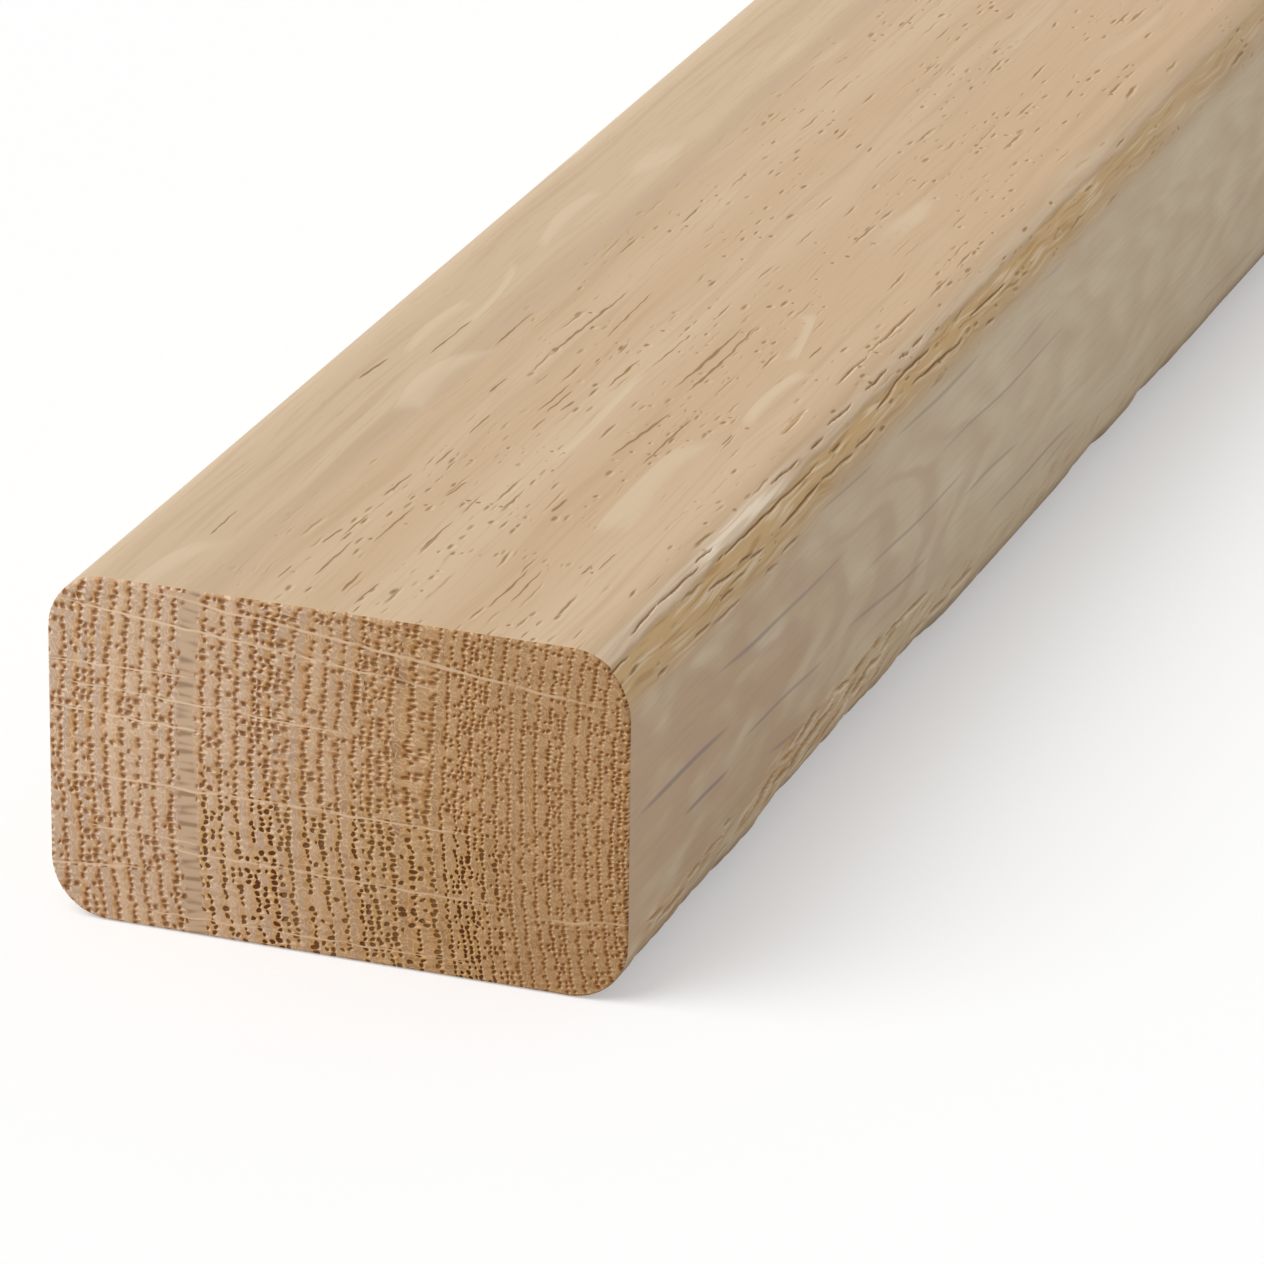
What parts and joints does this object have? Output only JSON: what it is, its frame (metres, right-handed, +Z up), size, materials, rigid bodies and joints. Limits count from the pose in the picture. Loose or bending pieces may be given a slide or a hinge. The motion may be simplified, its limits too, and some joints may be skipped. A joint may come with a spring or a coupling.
{
  "type": "stair handrail length",
  "caption": "Straight length of solid timber stair handrail, rectangular with rounded long edges and square-sawn ends, for cutting to fit on brackets, balusters or newel posts.",
  "frame": {"origin": "middle of the underside: midway along the length and across the width", "axes": "+Y along the rail, towards its back end; +X across its width; +Z up, from the underside to the top"},
  "size_m": [0.0636, 1.8288, 0.0381],
  "materials": {
    "oak": "bare planed and sanded oak, open pores, rough-sawn end grain"
  },
  "bodies": {
    "root": {"handrail": "oak"}
  },
  "joints": []
}
